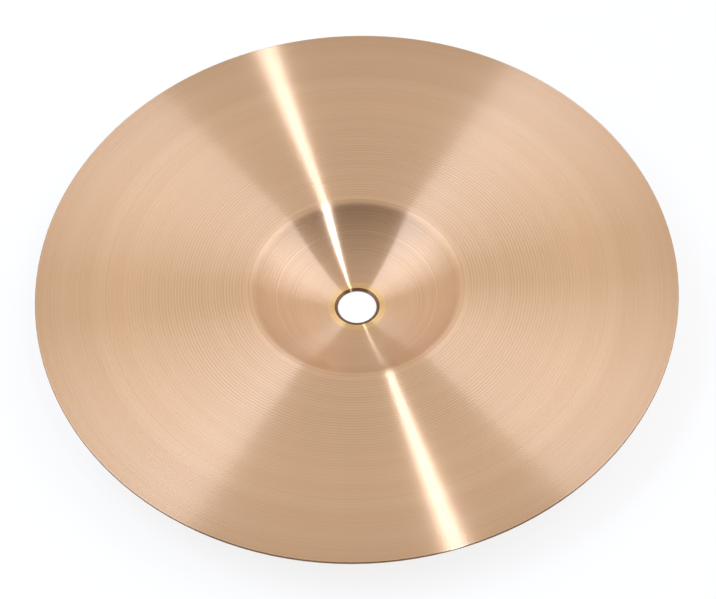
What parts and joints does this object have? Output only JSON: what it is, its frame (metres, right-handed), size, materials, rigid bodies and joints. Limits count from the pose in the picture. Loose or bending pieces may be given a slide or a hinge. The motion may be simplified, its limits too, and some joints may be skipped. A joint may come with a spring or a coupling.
{
  "type": "accent cymbal",
  "caption": "Thin round bronze cymbal with a shallow bow, a domed bell and a plain hole for a stand's felts or a hand strap; it rings when struck or clashed.",
  "frame": {"origin": "on the axis of the hole, at the level of the flat land that the cymbal lies on with its hollow side up", "axes": "+Z along the hole's axis, out of the hollow side"},
  "size_m": [0.2032, 0.2032, 0.0179],
  "materials": {
    "bronze": "bare bronze turned with fine concentric grooves, satin"
  },
  "bodies": {
    "root": {"cymbal": "bronze"}
  },
  "joints": []
}
